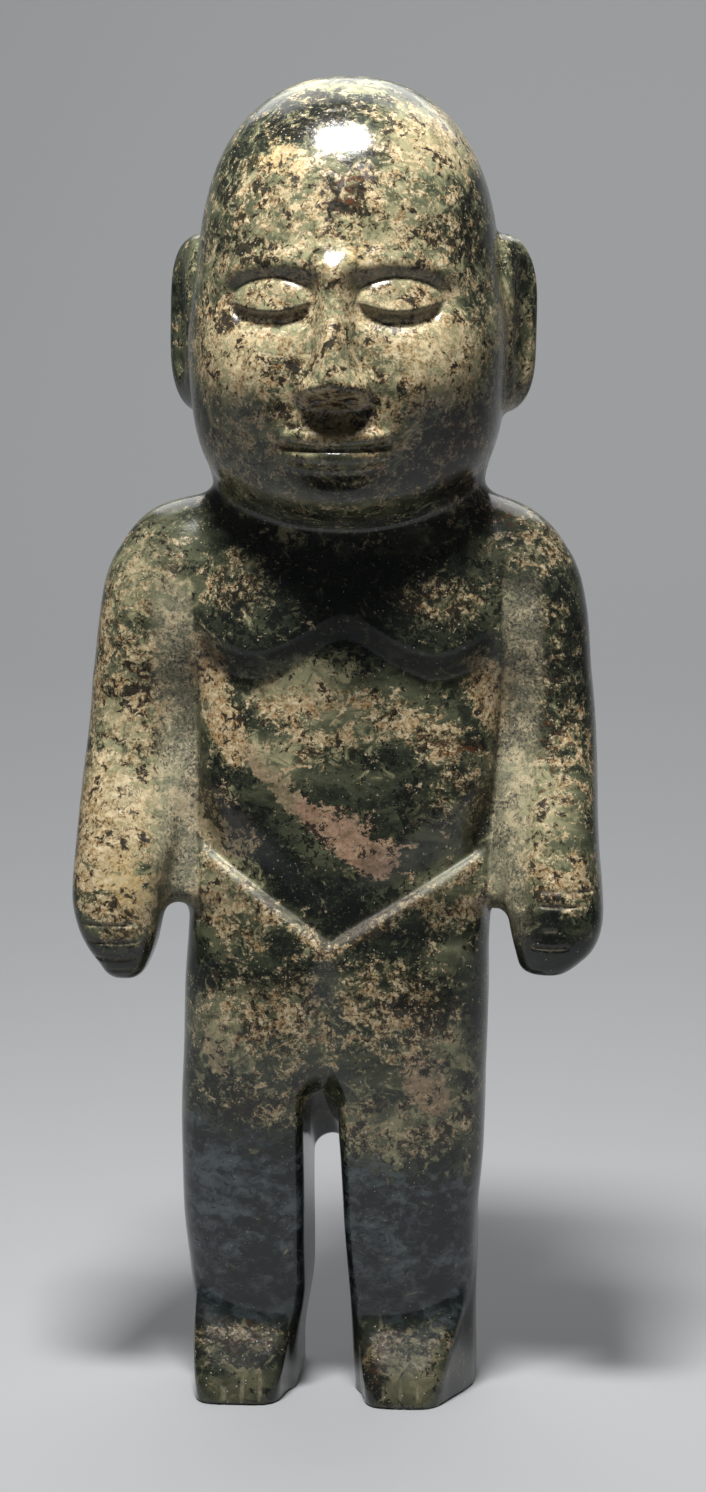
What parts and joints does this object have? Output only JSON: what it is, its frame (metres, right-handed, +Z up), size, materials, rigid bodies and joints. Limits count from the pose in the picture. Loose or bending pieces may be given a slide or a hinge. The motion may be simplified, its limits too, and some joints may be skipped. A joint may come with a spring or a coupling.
{
  "type": "serpentine standing figure",
  "caption": "Standing human figure carved from one polished piece of mottled green stone, arms at its sides, resting on its own flat feet.",
  "frame": {"origin": "centre of the figure's bounding box, at floor level under the soles", "axes": "+Z up the standing figure, -Y the way it faces, +X towards its left arm (the viewer's right)"},
  "size_m": [0.1206, 0.0838, 0.3],
  "materials": {
    "serpentine": "polished, mottled dark green with tan and ochre flecks"
  },
  "bodies": {
    "root": {"standing_figure": "serpentine"}
  },
  "joints": []
}
